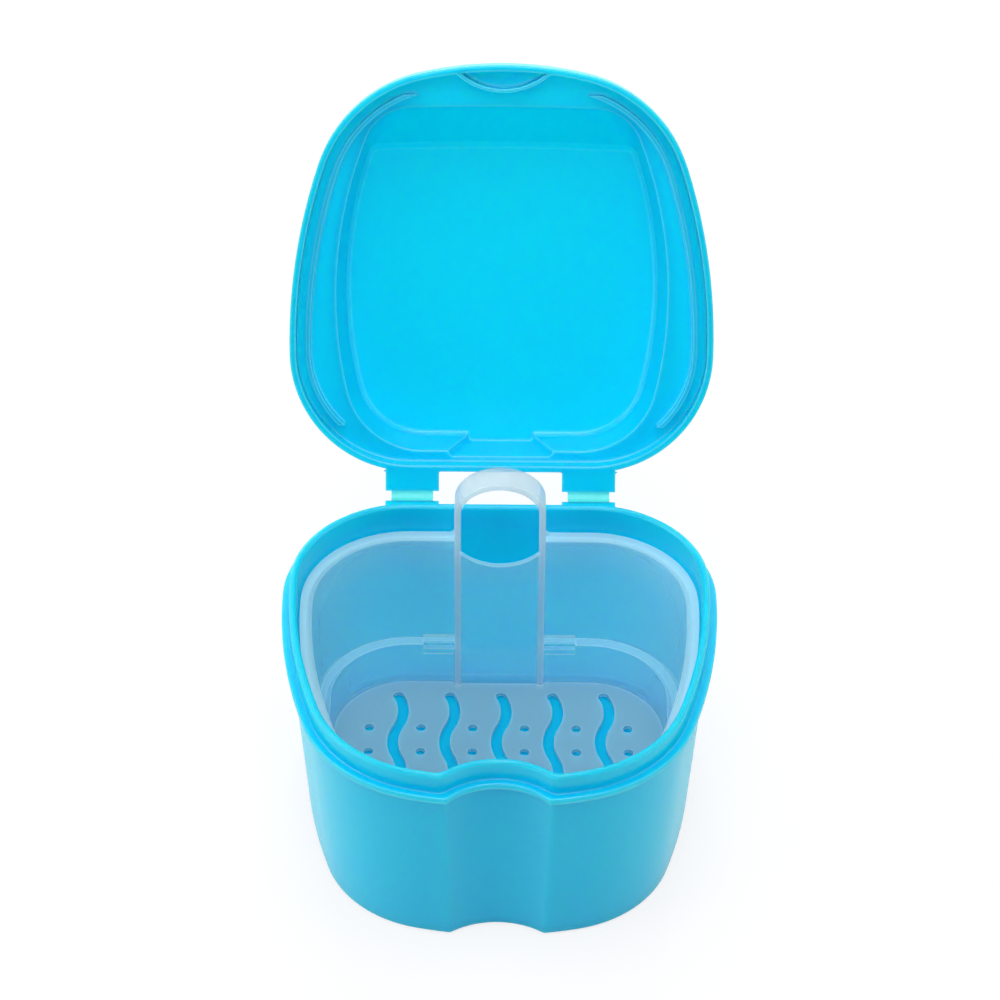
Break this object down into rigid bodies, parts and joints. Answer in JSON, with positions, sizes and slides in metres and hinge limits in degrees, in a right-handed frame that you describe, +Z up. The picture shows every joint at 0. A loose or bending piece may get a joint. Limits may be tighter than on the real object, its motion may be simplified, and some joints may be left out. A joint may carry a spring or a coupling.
{
  "type": "denture bath case",
  "caption": "Rounded denture bath case with a living-hinged domed lid and a lift-out strainer basket with an arched handle.",
  "frame": {"origin": "middle of the flat bottom that the case stands on", "axes": "+X to the right, front with the finger notch towards -Y, hinge towards +Y, +Z up"},
  "size_m": [0.09, 0.1436, 0.124],
  "materials": {
    "blue_polypropylene": "glossy moulded polypropylene, sky blue",
    "hinge_film": "thin translucent film of the same blue polypropylene",
    "frosted_polypropylene": "frosted natural polypropylene, translucent"
  },
  "bodies": {
    "case": {"case_base": "blue_polypropylene", "hinge_web_left": "hinge_film", "hinge_web_right": "hinge_film"},
    "lid": {"lid": "blue_polypropylene"},
    "basket": {"basket": "frosted_polypropylene"}
  },
  "joints": [
    {"name": "lid_hinge", "type": "hinge", "parent": "case", "child": "lid", "pos_m": [0, 0.04885, 0.04265], "axis": [1, 0, 0], "range_deg": [-62, 118], "deforming": ["hinge_web_left", "hinge_web_right"]},
    {"name": "basket_lift", "type": "slide", "parent": "case", "child": "basket", "axis": [0, 0, 1], "range_m": [0, 0.08]}
  ]
}
